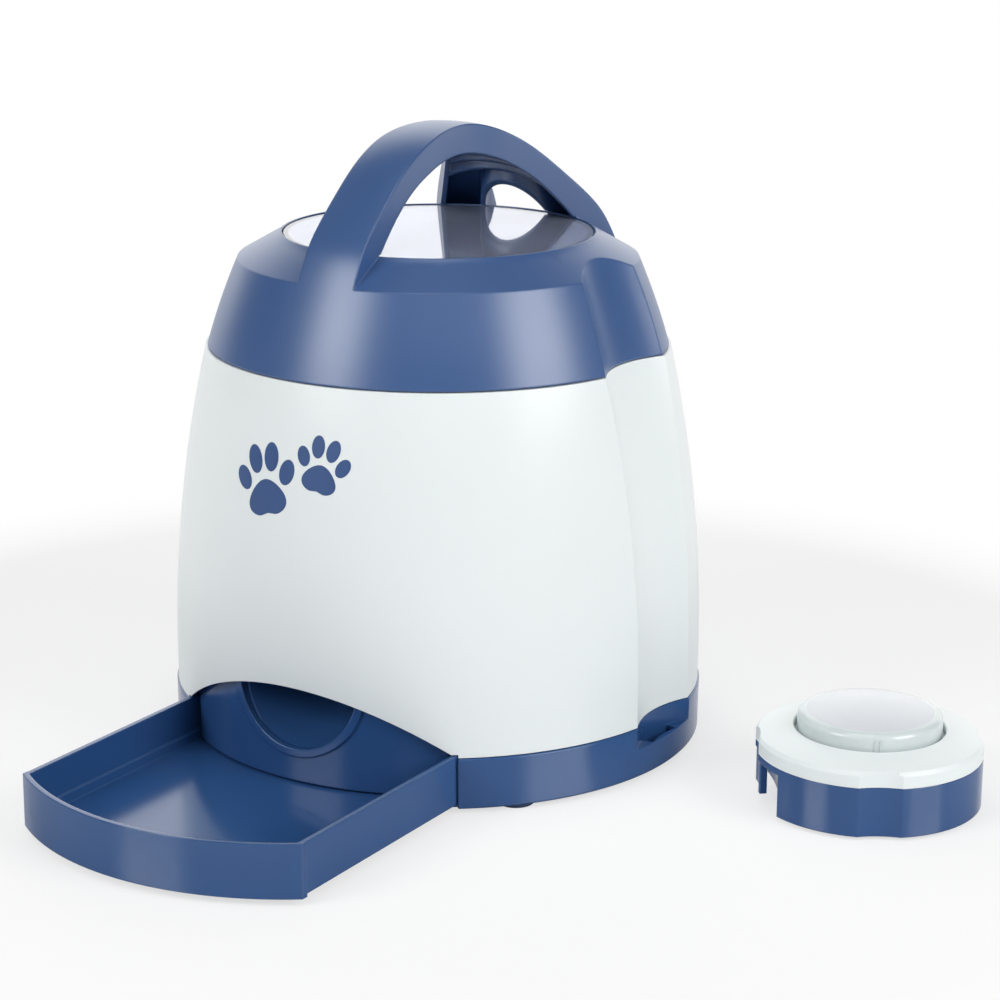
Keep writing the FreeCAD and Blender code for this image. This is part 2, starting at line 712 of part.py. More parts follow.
def make_battery_door():
    gap = 0.3
    low = foot_height
    door = box(-bay_half_width + bay_wall + gap, bay_half_width - bay_wall - gap, bay_front + bay_wall + gap,
               bay_rear - bay_wall - gap, low, low + door_thickness)
    tongue = box(-8.7, 8.7, bay_rear - bay_wall - 1.5, bay_rear + 8, low, low + door_thickness)
    door = door.fuse(tongue).cut(cylinder(1.7, low - 1, low + 4, 0, bay_rear + 4))
    for i in range(3):
        door = door.cut(box(-14, 14, 44 + 4 * i, 45.6 + 4 * i, low - 1, low + 0.6))
    return door.removeSplitter()


def make_door_screw():
    y = bay_rear + 4
    head = cylinder(2.6, foot_height - 0.9, foot_height, 0, y)
    return head.fuse(cylinder(1.2, foot_height, foot_height + 7.5, 0, y))


def make_power_switch():
    # Fixed switch body behind the rear wall
    body = box(-11, 11, base_top_radius - wall - 9, base_top_radius - wall - 1.6, 7, 19)
    track = box(-7, 7, base_top_radius - wall - 3.6, base_top_radius - wall, 10.7, 15.3)
    return body.cut(track)


def make_power_slider():
    low = base_top_radius - wall - 3.3
    return box(-2.2, 2.2, low, base_radius - 0.4, 11.2, 14.8)


def make_control_board():
    top = deck_bottom + deck_thickness
    board = box(36, 70, -38, 14, top + 5, top + 6.6)
    for x, y in ((40, -34), (66, -34), (40, 10), (66, 10)):
        board = board.fuse(cylinder(2.2, top, top + 5, x, y))
    board = board.fuse(box(46, 58, -12, 0, top + 6.6, top + 8.2))
    board = board.fuse(box(46, 54, 2, 7, top + 6.6, top + 12))
    board = board.fuse(cylinder(3.2, top + 6.6, top + 17, 62, -20))
    board = board.fuse(box(44, 50, -28, -20, top + 6.6, top + 9))
    return board.removeSplitter()


def make_speaker():
    top = deck_bottom + deck_thickness
    frame = cylinder(18, top, top + 3, -52, -6)
    magnet = cylinder(9, top + 3, top + 8, -52, -6)
    return frame.fuse(magnet)


def remote_outline(radius, low, high):
    block = cylinder(radius, low, high)
    sagitta = remote_radius - half_width(remote_radius, recess_half_chord)
    dip = recess_depth - sagitta
    cut_radius = (recess_half_chord**2 + dip**2) / (2 * dip)
    shrink = remote_radius - radius
    tool = cylinder(cut_radius + shrink, low - 1, high + 1, remote_radius - recess_depth + cut_radius)
    for shape in around(tool, 4):
        block = block.cut(shape)
    return block


def placed(shape):
    turned = shape.rotated(Vector(0, 0, 0), UP, remote_turn)
    turned.translate(remote_place)
    return turned


def make_remote_base():
    floor = 2.0
    outer = remote_outline(remote_radius - 0.1, remote_bottom, remote_split)
    dock = Vector(-dock_distance, 0, 0)
    clear = base_radius + dock_gap
    relief = Part.makeCylinder(clear, remote_flange, dock)
    outer = outer.cut(relief)
    room = remote_outline(remote_radius - remote_wall, remote_bottom + floor, remote_split + 1)
    behind = Part.makeCylinder(clear + remote_wall, remote_flange + 2.4, dock)
    room = room.cut(behind)
    base = outer.cut(room)

    # Hook tab below the flange
    tab = tube(tab_outer, tab_inner, 5.0, remote_flange + 1)
    wedge = Part.makeCylinder(60, 40, Vector(0, 0, 0), UP, 2 * tab_half_angle)
    wedge.rotate(Vector(0, 0, 0), UP, 180 - tab_half_angle)
    tab = tab.common(wedge)
    inside = remote_outline(remote_radius - 0.2, 0, 40)
    base = base.fuse(tab.common(inside))

    # Battery trough and posts for the board
    for side in (-1, 1):
        y = side * 18.4
        base = base.fuse(box(-22, 26, y - 0.8, y + 0.8, remote_bottom + floor - 0.2, 13))
    for x, y in remote_posts:
        base = base.fuse(tube(2.6, 1.0, remote_bottom + floor - 0.2, 16.0, x, y))
    opening = box(-21, 25, -17.2, 17.2, 0, remote_bottom + floor + 1)
    base = base.cut(opening)
    return placed(base.removeSplitter())


def make_remote_ring():
    # Gently sloping top with an eased outer edge, hollow below
    outline = remote_outline(remote_radius, remote_split, remote_mouth_height + 1)
    ease = 1.3
    shell = turned_outline([(0, remote_split), (remote_radius, remote_split),
                            (remote_radius, remote_shoulder - ease + 0.4),
                            (remote_radius - ease, remote_shoulder + 0.6),
                            (remote_mouth_radius + 0.6, remote_mouth_height),
                            (remote_mouth_radius, remote_mouth_height - 0.5), (0, remote_mouth_height - 0.5)])
    ring = outline.common(shell)
    room = remote_outline(remote_radius - remote_wall, remote_split - 1, 26.4)
    step = cylinder(35.5, 20, 29.4)
    ring = ring.cut(room).cut(step).cut(cylinder(remote_mouth_radius, 20, 40))
    return placed(ring.removeSplitter())


def make_remote_button():
    skin = 1.8
    dome_radius = (button_radius**2 + button_crown**2) / (2 * button_crown)
    dome_centre = button_rim + button_crown - dome_radius
    outer = cylinder(button_radius, 27.3, button_rim + 10)
    outer = outer.common(Part.makeSphere(dome_radius, Vector(0, 0, dome_centre)))
    rim = [e for e in outer.Edges if abs(e.BoundBox.ZMin - button_rim) < 0.2 and e.BoundBox.ZLength < 0.2]
    outer = outer.makeFillet(0.9, rim)
    inner = cylinder(button_radius - skin, 20, button_rim + 10)
    inner = inner.common(Part.makeSphere(dome_radius - skin, Vector(0, 0, dome_centre)))
    flange = cylinder(34.0, 27.3, 29.2)
    stem = cylinder(4.0, 22.6, button_rim + 1.5)
    button = outer.fuse(flange).cut(inner).fuse(stem)
    # Moulding key on the side that faces the viewer
    key = box(button_radius - 0.7, button_radius + 0.6, -0.9, 0.9, 31.5, button_rim - 0.6)
    key.rotate(Vector(0, 0, 0), UP, -90)
    button = button.cut(key)
    return placed(button.removeSplitter())


def make_return_pad():
    # Silicone pad that pushes the button back up
    outer = Part.makeCone(11, 8, 4.6, Vector(0, 0, 18.0))
    inner = Part.makeCone(9.4, 6.4, 3.4, Vector(0, 0, 18.0))
    return placed(outer.cut(inner))


def make_remote_board():
    board = cylinder(38.5, 16.2, 17.8)
    relief = base_radius + dock_gap + 2 * remote_wall + 0.6
    board = board.cut(Part.makeCylinder(relief, 40, Vector(-dock_distance, 0, 0)))
    for x, y in remote_posts:
        board = board.cut(cylinder(1.1, 15, 19, x, y))
    board = board.fuse(box(-4, 4, 14, 22, 17.8, 19.4))
    board = board.fuse(box(12, 20, -20, -14, 17.8, 19.0))
    board = board.fuse(box(-20, -14, -16, -8, 17.8, 18.8))
    return placed(board.removeSplitter())


def make_remote_lamp():
    lamps = []
    for x, y in ((22, 10), (-18, 14), (2, -22)):
        lamp = cylinder(2.5, 17.8, 20.6, x, y)
        top = [e for e in lamp.Edges if e.BoundBox.ZMin > 20.5]
        lamps.append(placed(lamp.makeChamfer(1.0, top)))
    return Part.makeCompound(lamps)


def make_remote_cells():
    cells = []
    for i, y in enumerate(cell_places(3, 11.4)):
        body = Part.makeCylinder(5.2, 43.0, Vector(-19.5, y, 9.4), Vector(1, 0, 0))
        nub = Part.makeCylinder(1.8, 1.2, Vector(23.5, y, 9.4), Vector(1, 0, 0))
        cell = body.fuse(nub)
        if i % 2:
            cell.rotate(Vector(2.6, y, 9.4), UP, 180)
        cells.append(placed(cell))
    return Part.makeCompound(cells)


def make_remote_contacts():
    plates = []
    for x in (-21.6, 25.0):
        for y in cell_places(3, 11.4):
            plates.append(placed(box(x, x + 0.5, y - 4.2, y + 4.2, remote_bottom + 2.0, 13.8)))
    return Part.makeCompound(plates)


def make_remote_door():
    door = box(-20.7, 24.7, -16.9, 16.9, remote_bottom, remote_bottom + 1.6)
    for i in range(3):
        door = door.cut(box(16 - 3 * i, 17.2 - 3 * i, -8, 8, remote_bottom - 1, remote_bottom + 0.5))
    return placed(door)


def make_remote_screws():
    screws = []
    for x, y in remote_posts:
        head = cylinder(2.2, 17.8, 19.2, x, y)
        screws.append(placed(head.fuse(cylinder(0.95, 10.0, 17.8, x, y))))
    return Part.makeCompound(screws)


def make_remote_feet():
    feet = []
    for x, y in ((30, 27), (30, -27), (-20, 34), (-20, -34)):
        feet.append(placed(cylinder(3.0, 0, remote_bottom, x, y)))
    return Part.makeCompound(feet)


nodes = {
    "base_housing": make_base_housing,
    "body_shell": make_body_shell,
    "lid": make_lid,
    "lid_window": make_lid_window,
    "lid_seal": make_lid_seal,
    "food_hopper": make_food_hopper,
    "hopper_baffle": make_hopper_baffle,
    "portion_wheel": make_portion_wheel,
    "wheel_shaft": make_wheel_shaft,
    "drive_gear": make_drive_gear,
    "drive_pinion": make_drive_pinion,
    "gearbox_case": make_gearbox_case,
    "motor_can": make_motor_can,
    "mechanism_deck": make_mechanism_deck,
    "guard_wall": make_guard_wall,
    "drop_chute": make_drop_chute,
    "treat_drawer": make_treat_drawer,
    "rubber_feet": make_rubber_feet,
    "base_screws": make_base_screws,
    "battery_cells": make_battery_cells,
    "battery_contacts": make_battery_contacts,
    "battery_door": make_battery_door,
    "door_screw": make_door_screw,
    "power_switch": make_power_switch,
    "power_slider": make_power_slider,
    "control_board": make_control_board,
    "speaker": make_speaker,
    "remote_base": make_remote_base,
    "remote_ring": make_remote_ring,
    "remote_button": make_remote_button,
    "return_pad": make_return_pad,
    "remote_board": make_remote_board,
    "remote_lamp": make_remote_lamp,
    "remote_cells": make_remote_cells,
    "remote_contacts": make_remote_contacts,
    "remote_door": make_remote_door,
    "remote_screws": make_remote_screws,
    "remote_feet": make_remote_feet,
}

os.makedirs("parts", exist_ok=True)
for name, make in nodes.items():
    shape = make()
    print(name, "valid", shape.isValid(), "solids", len(shape.Solids), "volume", round(shape.Volume / 1000, 2))
    shape.exportStep("parts/" + name + ".step")
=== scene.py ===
import math
import bmesh
import bpy
from mathutils import Matrix, Vector


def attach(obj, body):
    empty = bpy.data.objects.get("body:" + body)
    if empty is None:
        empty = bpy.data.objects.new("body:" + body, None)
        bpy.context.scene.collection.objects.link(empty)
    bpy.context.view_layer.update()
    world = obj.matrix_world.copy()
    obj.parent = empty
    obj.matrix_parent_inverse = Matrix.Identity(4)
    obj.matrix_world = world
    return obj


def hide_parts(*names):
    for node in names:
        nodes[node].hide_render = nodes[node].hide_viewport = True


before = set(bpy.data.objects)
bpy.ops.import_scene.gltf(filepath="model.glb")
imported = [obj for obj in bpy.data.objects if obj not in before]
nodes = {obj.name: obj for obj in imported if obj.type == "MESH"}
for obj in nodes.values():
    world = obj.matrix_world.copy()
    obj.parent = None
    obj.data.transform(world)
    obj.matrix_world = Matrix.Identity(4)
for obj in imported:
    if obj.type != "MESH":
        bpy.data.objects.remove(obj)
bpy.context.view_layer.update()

mm = 0.001
print("frame loaded,", len(nodes), "pieces")


def linear(hexColour):
    # "#rrggbb" in sRGB to the linear values that shaders use
    channels = [int(hexColour[i:i + 2], 16) / 255 for i in (1, 3, 5)]
    return [c / 12.92 if c <= 0.04045 else ((c + 0.055) / 1.055) ** 2.4 for c in channels] + [1.0]


def addNode(tree, kind, settings=None, values=None, links=None):
    # One node with its properties, its socket values and what feeds its sockets
    node = tree.nodes.new(kind)
    for key, value in (settings or {}).items():
        setattr(node, key, value)
    for key, value in (values or {}).items():
        node.inputs[key].default_value = value
    for key, socket in (links or {}).items():
        tree.links.new(socket, node.inputs[key])
    return node


def startMaterial(name):
    material = bpy.data.materials.new(name)
    material.use_nodes = True
    material.node_tree.nodes.clear()
    return material, material.node_tree


def endMaterial(tree, shader):
    addNode(tree, "ShaderNodeOutputMaterial", links={"Surface": shader.outputs[0]})


def directionOf(s):
    # From the object towards a camera or lamp: azimuth 0 is straight in front, elevation goes up
    around, up = math.radians(s["azimuth"]), math.radians(s["elevation"])
    return Vector((math.sin(around) * math.cos(up), -math.cos(around) * math.cos(up), math.sin(up)))


# Camera: the photograph's angle, read from the ellipses of base, seam, window and remote. Target and
# distance are in millimetres.
cameraSettings = {
    "target": (0, 0, 102.6), "distance": 1216.6, "azimuth": 32.45, "elevation": 15.53,
    "lens": 99.76, "sensor": 36.0, "shiftX": 0.0617, "shiftY": -0.0030, "clip": (0.05, 60),
}


def makeCamera(s):
    towards = directionOf(s)
    data = bpy.data.cameras.new("camera")
    data.lens, data.sensor_width = s["lens"], s["sensor"]
    data.shift_x, data.shift_y = s["shiftX"], s["shiftY"]
    data.clip_start, data.clip_end = s["clip"]
    camera = bpy.data.objects.new("camera", data)
    camera.location = (Vector(s["target"]) + towards * s["distance"]) * mm
    camera.rotation_euler = (-towards).to_track_quat("-Z", "Y").to_euler()
    bpy.context.scene.collection.objects.link(camera)
    bpy.context.scene.camera = camera


makeCamera(cameraSettings)
bpy.context.scene.view_settings.view_transform = "Standard"

# Soft studio: two softboxes, each about 50 degrees to one side of the camera, a broad weak one over
# the camera, a small one overhead that draws the edges, and one behind that lights the far side and
# isn't seen in reflections. A lit white backdrop gives the pale rims. The floor is white paper and
# keeps the shadow. The studio's measures are in metres.
studio = {
    "aimHeight": 0.13,
    "roomStrength": 0.24, "roomGloss": 0.12, "backdropGloss": 1.65, "backdropEdges": (0.5, 0.9),
    "floorRadius": 14.0, "floorSegments": 96, "floorAlbedo": 0.93,
    "fadeStart": 0.18, "fadeEnd": 0.42, "paperGlow": 0.66,
    "tableAlbedo": 0.42, "tableSheen": 0.30, "tableRoughness": 0.20,
    "left": {"azimuth": -22, "elevation": 27, "distance": 1.6, "size": (0.66, 0.8), "watts": 10.5},
    "right": {"azimuth": 85, "elevation": 25, "distance": 1.6, "size": (0.85, 0.9), "watts": 13.9},
    "front": {"azimuth": 34, "elevation": 36, "distance": 1.9, "size": (1.1, 0.7), "watts": 1.6},
    "top": {"azimuth": 22, "elevation": 80, "distance": 1.5, "size": (0.6, 0.6), "watts": 3.3},
    "back": {"azimuth": 222, "elevation": 24, "distance": 1.8, "size": (1.3, 1.0), "watts": 6.0,
             "inGloss": False},
}


def makeLamp(name, s, aimHeight):
    data = bpy.data.lights.new(name, "AREA")
    data.energy, data.shape = s["watts"], "RECTANGLE"
    data.size, data.size_y = s["size"]
    towards = directionOf(s)
    lamp = bpy.data.objects.new(name, data)
    lamp.location = Vector((0, 0, aimHeight)) + towards * s["distance"]
    lamp.rotation_euler = (-towards).to_track_quat("-Z", "Y").to_euler()
    lamp.visible_glossy = s.get("inGloss", True)
    bpy.context.scene.collection.objects.link(lamp)


def makeBackdrop(s):
    world = bpy.data.worlds.new("studio")
    bpy.context.scene.world = world
    world.use_nodes = True
    tree = world.node_tree
    tree.nodes.clear()
    # The backdrop hangs opposite the photograph's camera. Camera and transmission rays see white
    # all round, gloss sees the backdrop and a dim room, and the rest is the room's even light.
    around = math.radians(cameraSettings["azimuth"])
    place = addNode(tree, "ShaderNodeTexCoord")
    facing = addNode(tree, "ShaderNodeVectorMath", {"operation": "DOT_PRODUCT"},
                     {1: (-math.sin(around), math.cos(around), 0)}, {0: place.outputs["Generated"]})
    gloss = addNode(tree, "ShaderNodeMapRange", {"interpolation_type": "SMOOTHSTEP"},
                    {"From Min": s["backdropEdges"][0], "From Max": s["backdropEdges"][1],
                     "To Min": s["roomGloss"], "To Max": s["backdropGloss"]},
                    {"Value": facing.outputs["Value"]})
    path = addNode(tree, "ShaderNodeLightPath")
    light = addNode(tree, "ShaderNodeMix", values={"A": s["roomStrength"]},
                    links={"Factor": path.outputs["Is Glossy Ray"], "B": gloss.outputs[0]})
    seen = addNode(tree, "ShaderNodeMath", {"operation": "MAXIMUM"},
                   links={0: path.outputs["Is Camera Ray"], 1: path.outputs["Is Transmission Ray"]})
    strength = addNode(tree, "ShaderNodeMix", values={"B": 1.0},
                       links={"Factor": seen.outputs[0], "A": light.outputs[0]})
    sky = addNode(tree, "ShaderNodeBackground", values={"Color": linear("#ffffff")},
                  links={"Strength": strength.outputs[0]})
    addNode(tree, "ShaderNodeOutputWorld", links={"Surface": sky.outputs[0]})


def makeFloor(s):
    # The floor keeps the shadow near the object and fades to plain white further out
    bm = bmesh.new()
    bmesh.ops.create_circle(bm, cap_ends=True, segments=s["floorSegments"], radius=s["floorRadius"])
    mesh = bpy.data.meshes.new("floor")
    bm.to_mesh(mesh)
    bm.free()
    floor = bpy.data.objects.new("floor", mesh)
    bpy.context.scene.collection.objects.link(floor)
    material, tree = startMaterial("paperFloor")
    place = addNode(tree, "ShaderNodeTexCoord")
    reach = addNode(tree, "ShaderNodeVectorMath", {"operation": "LENGTH"},
                    links={0: place.outputs["Object"]})
    fade = addNode(tree, "ShaderNodeMapRange", {"interpolation_type": "SMOOTHSTEP"},
                   {"From Min": s["fadeStart"], "From Max": s["fadeEnd"]},
                   {"Value": reach.outputs["Value"]})
    path = addNode(tree, "ShaderNodeLightPath")
    direct = addNode(tree, "ShaderNodeMath", {"operation": "MAXIMUM"},
                     links={0: path.outputs["Is Camera Ray"], 1: path.outputs["Is Glossy Ray"]})
    seen = addNode(tree, "ShaderNodeMath", {"operation": "MAXIMUM"},
                   links={0: direct.outputs[0], 1: path.outputs["Is Transmission Ray"]})
    far = addNode(tree, "ShaderNodeMath", {"operation": "MULTIPLY"},
                  links={0: fade.outputs[0], 1: seen.outputs[0]})
    near = addNode(tree, "ShaderNodeMath", {"operation": "MULTIPLY"}, {1: s["paperGlow"]},
                   {0: path.outputs["Is Camera Ray"]})
    whiteShare = addNode(tree, "ShaderNodeMath", {"operation": "MAXIMUM"},
                         links={0: far.outputs[0], 1: near.outputs[0]})
    paper = addNode(tree, "ShaderNodeBsdfDiffuse", values={"Color": [s["floorAlbedo"]] * 3 + [1]})
    # A glossy surface mirrors this floor as a polished table, which carries the lamps' reflections
    board = addNode(tree, "ShaderNodeBsdfDiffuse", values={"Color": [s["tableAlbedo"]] * 3 + [1]})
    polish = addNode(tree, "ShaderNodeBsdfAnisotropic",
                     values={"Color": [s["tableSheen"]] * 3 + [1], "Roughness": s["tableRoughness"]})
    table = addNode(tree, "ShaderNodeAddShader", links={0: board.outputs[0], 1: polish.outputs[0]})
    lit = addNode(tree, "ShaderNodeMixShader",
                  links={0: path.outputs["Is Glossy Ray"], 1: paper.outputs[0], 2: table.outputs[0]})
    white = addNode(tree, "ShaderNodeEmission", values={"Color": linear("#ffffff"), "Strength": 1.0})
    mixed = addNode(tree, "ShaderNodeMixShader",
                    links={0: whiteShare.outputs[0], 1: lit.outputs[0], 2: white.outputs[0]})
    endMaterial(tree, mixed)
    mesh.materials.append(material)


makeBackdrop(studio)
for side in ("left", "right", "front", "top", "back"):
    makeLamp(side + "Lamp", studio[side], studio["aimHeight"])
makeFloor(studio)
print("camera and studio ready")


def mouldedPlastic(name, s):
    # Injection-moulded plastic: an even colour with a slight cloud from the melt, and the tool's
    # spark texture as a fine bump. Both patterns are in real millimetres.
    spread = 0.03  # the roughness follows the cloud this far either way
    material, tree = startMaterial(name)
    place = addNode(tree, "ShaderNodeTexCoord")
    cloud = addNode(tree, "ShaderNodeTexNoise", values={"Scale": 1 / (s["cloudMm"] * mm), "Detail": 2.0},
                    links={"Vector": place.outputs["Object"]})
    colour = addNode(tree, "ShaderNodeMix", {"data_type": "RGBA"},
                     {6: linear(s["dark"]), 7: linear(s["light"])}, {0: cloud.outputs["Fac"]})
    grain = addNode(tree, "ShaderNodeTexNoise", values={"Scale": 1 / (s["grainMm"] * mm), "Detail": 1.0},
                    links={"Vector": place.outputs["Object"]})
    bump = addNode(tree, "ShaderNodeBump",
                   values={"Strength": s["grainStrength"], "Distance": s["grainDepthMm"] * mm},
                   links={"Height": grain.outputs["Fac"]})
    if "edgeMm" in s:
        # the mould's small corner radius, which catches the light as a fine line along each edge
        edge = addNode(tree, "ShaderNodeBevel", {"samples": 8}, {"Radius": s["edgeMm"] * mm})
        tree.links.new(edge.outputs[0], bump.inputs["Normal"])
    rough = addNode(tree, "ShaderNodeMapRange",
                    values={"To Min": s["roughness"] - spread, "To Max": s["roughness"] + spread},
                    links={"Value": cloud.outputs["Fac"]})
    shader = addNode(tree, "ShaderNodeBsdfPrincipled",
                     values={"IOR": s.get("ior", 1.53), "Metallic": 0.0},
                     links={"Base Color": colour.outputs[2], "Roughness": rough.outputs[0],
                            "Normal": bump.outputs[0]})
    if "sheen" in s:
        shader.inputs["Coat Weight"].default_value = s["sheen"]
        shader.inputs["Coat Roughness"].default_value = s["sheenRoughness"]
    endMaterial(tree, shader)
    return material


def platedMetal(name, s):
    # Metal with a fine drawn grain along one axis
    spread = 0.06  # the roughness follows the grain this far either way
    material, tree = startMaterial(name)
    place = addNode(tree, "ShaderNodeTexCoord")
    stretch = addNode(tree, "ShaderNodeMapping", values={"Scale": s["stretch"]},
                      links={"Vector": place.outputs["Object"]})
    grain = addNode(tree, "ShaderNodeTexNoise", values={"Scale": 1 / (s["grainMm"] * mm), "Detail": 3.0},
                    links={"Vector": stretch.outputs[0]})
    colour = addNode(tree, "ShaderNodeMix", {"data_type": "RGBA"},
                     {6: linear(s["dark"]), 7: linear(s["light"])}, {0: grain.outputs["Fac"]})
    rough = addNode(tree, "ShaderNodeMapRange",
                    values={"To Min": s["roughness"] - spread, "To Max": s["roughness"] + spread},
                    links={"Value": grain.outputs["Fac"]})
    shader = addNode(tree, "ShaderNodeBsdfPrincipled", values={"Metallic": 1.0},
                     links={"Base Color": colour.outputs[2], "Roughness": rough.outputs[0]})
    endMaterial(tree, shader)
    return material


plasticSettings = {
    # satin ABS of the lid: spark texture breaks the highlight into a broad soft one
    "satinBlueAbs": {"dark": "#335486", "light": "#37598c", "cloudMm": 60, "grainMm": 0.45,
                     "grainDepthMm": 0.02, "grainStrength": 0.55, "roughness": 0.33,
                     "ior": 1.76, "edgeMm": 1.1},
    # polished ABS of base and drawer: clearer reflections
    "glossBlueAbs": {"dark": "#2b4e80", "light": "#2f5488", "cloudMm": 50, "grainMm": 0.8,
                     "grainDepthMm": 0.01, "grainStrength": 0.15, "roughness": 0.17,
                     "ior": 1.56, "edgeMm": 1.0},
    # pad-printed navy ink on the white shell, thin and slightly duller than the plastic under it
    "padPrintInk": {"dark": "#27487b", "light": "#2d5086", "cloudMm": 12, "grainMm": 0.3,
                    "grainDepthMm": 0.01, "grainStrength": 0.3, "roughness": 0.38},
    # white ABS of the body, nearly smooth
    "whiteAbs": {"dark": "#e3e9e9", "light": "#e8eeee", "cloudMm": 80, "grainMm": 0.5,
                 "grainDepthMm": 0.01, "grainStrength": 0.18, "roughness": 0.30},
    # grey polypropylene of the hopper, food safe and a little waxy
    "greyPolypropylene": {"dark": "#8b9097", "light": "#959aa1", "cloudMm": 30, "grainMm": 0.5,
                          "grainDepthMm": 0.02, "grainStrength": 0.3, "roughness": 0.42, "ior": 1.49},
    # black ABS of switch, gearbox and speaker
    "blackAbs": {"dark": "#1b1c1f", "light": "#232427", "cloudMm": 20, "grainMm": 0.4,
                 "grainDepthMm": 0.02, "grainStrength": 0.4, "roughness": 0.45},
    # acetal of wheel and gears: milky and slippery
    "naturalAcetal": {"dark": "#dcdbd3", "light": "#e6e5de", "cloudMm": 25, "grainMm": 0.5,
                      "grainDepthMm": 0.01, "grainStrength": 0.2, "roughness": 0.35, "ior": 1.48},
    # silicone of seal and button pad
    "greySilicone": {"dark": "#8d8f93", "light": "#989a9d", "cloudMm": 15, "grainMm": 0.3,
                     "grainDepthMm": 0.02, "grainStrength": 0.3, "roughness": 0.6, "ior": 1.42},
    # navy thermoplastic rubber of the feet
    "navyRubber": {"dark": "#1f3354", "light": "#263d63", "cloudMm": 10, "grainMm": 0.35,
                   "grainDepthMm": 0.03, "grainStrength": 0.5, "roughness": 0.62},
    # solder mask over glass-fibre board
    "greenBoard": {"dark": "#155c33", "light": "#1c6b3d", "cloudMm": 4, "grainMm": 0.8,
                   "grainDepthMm": 0.02, "grainStrength": 0.3, "roughness": 0.32},
    # shrink sleeve round each cell
    "cellSleeve": {"dark": "#33363c", "light": "#3d4148", "cloudMm": 14, "grainMm": 0.6,
                   "grainDepthMm": 0.01, "grainStrength": 0.2, "roughness": 0.25,
                   "sheen": 0.4, "sheenRoughness": 0.1},
    # clear epoxy of the lamps
    "clearEpoxy": {"dark": "#e8e8e0", "light": "#f2f2ec", "cloudMm": 3, "grainMm": 0.5,
                   "grainDepthMm": 0.005, "grainStrength": 0.1, "roughness": 0.12},
}
materials = {name: mouldedPlastic(name, s) for name, s in plasticSettings.items()}
materials["platedSteel"] = platedMetal("platedSteel", {
    "dark": "#9a9da1", "light": "#c2c5c9", "grainMm": 0.3, "stretch": (1, 1, 0.1), "roughness": 0.3})


def clearPolycarbonate(s):
    # Polished clear sheet with a faint smoke tint: both faces mirror the room at a low angle, and
    # fine wear from food dust gives it a trace of milky haze
    material, tree = startMaterial("clearPolycarbonate")
    place = addNode(tree, "ShaderNodeTexCoord")
    film = addNode(tree, "ShaderNodeTexNoise", values={"Scale": 1 / (s["filmMm"] * mm), "Detail": 3.0},
                   links={"Vector": place.outputs["Object"]})
    rough = addNode(tree, "ShaderNodeMapRange", values={"To Min": 0.01, "To Max": s["roughness"]},
                    links={"Value": film.outputs["Fac"]})
    shader = addNode(tree, "ShaderNodeBsdfPrincipled",
                     values={"Base Color": linear(s["tint"]), "IOR": 1.58,
                             "Transmission Weight": s["clear"]},
                     links={"Roughness": rough.outputs[0]})
    endMaterial(tree, shader)
    return material


materials["clearPolycarbonate"] = clearPolycarbonate({"tint": "#dbe3f8", "filmMm": 40, "roughness": 0.05,
                                                       "clear": 0.80})


def prismPolycarbonate(s):
    # Frosted dome with crossed rows of tiny prisms under a clear skin. Its colour is painted lighter on the
    # prism ridges as painted highlight, and darker in the grooves as painted shade.
    bandFactor = 20  # Blender's bands repeat every 2 pi / 20 of a metre at a scale of 1
    material, tree = startMaterial("prismPolycarbonate")
    place = addNode(tree, "ShaderNodeTexCoord")
    turned = addNode(tree, "ShaderNodeMapping", values={"Rotation": (0, 0, math.radians(s["turnDegrees"]))},
                     links={"Vector": place.outputs["Object"]})
    waves = []
    for direction in ("X", "Y"):
        waves.append(addNode(tree, "ShaderNodeTexWave",
                             {"wave_type": "BANDS", "bands_direction": direction, "wave_profile": "TRI"},
                             {"Scale": 2 * math.pi / (bandFactor * s["prismMm"] * mm), "Distortion": 0.0},
                             {"Vector": turned.outputs[0]}))
    both = addNode(tree, "ShaderNodeMath", {"operation": "ADD"},
                   links={0: waves[0].outputs["Fac"], 1: waves[1].outputs["Fac"]})
    bump = addNode(tree, "ShaderNodeBump",
                   values={"Strength": s["strength"], "Distance": s["depthMm"] * mm},
                   links={"Height": both.outputs[0]})
    # painted highlight and shade: the colour follows the prisms' height, light on the ridges and dark in
    # the grooves
    prismShade = addNode(tree, "ShaderNodeMapRange", values={"From Max": 2.0, "To Min": 0.0, "To Max": 1.0},
                   links={"Value": both.outputs[0]})
    colour = addNode(tree, "ShaderNodeMix", {"data_type": "RGBA"},
                     {6: linear(s["dark"]), 7: linear(s["light"])}, {0: prismShade.outputs[0]})
    shader = addNode(tree, "ShaderNodeBsdfPrincipled",
                     values={"IOR": 1.58, "Roughness": s["roughness"], "Transmission Weight": s["clear"],
                             "Coat Weight": 0.3, "Coat Roughness": 0.15},
                     links={"Base Color": colour.outputs[2], "Normal": bump.outputs[0]})
    endMaterial(tree, shader)
    return material


# The real prisms are about 0.6 mm apart. They are drawn at twice that, so that they show at all.
# dark and light below are the painted shade in the prisms' grooves and the painted highlight on their
# ridges
materials["prismPolycarbonate"] = prismPolycarbonate({
    "prismMm": 1.2, "turnDegrees": 30, "depthMm": 0.06, "strength": 0.35, "dark": "#c6cbd1",
    "light": "#e0e4e9", "roughness": 0.26, "clear": 0.10})
# smooth side of the same dome: cloudy, with the grey green of the parts inside showing through
materials["cloudyPolycarbonate"] = mouldedPlastic("cloudyPolycarbonate", {
    "dark": "#c9d4d4", "light": "#d8e0e0", "cloudMm": 9, "grainMm": 1.5, "grainDepthMm": 0.03,
    "grainStrength": 0.2, "roughness": 0.14, "ior": 1.58})
print("materials:", len(materials))

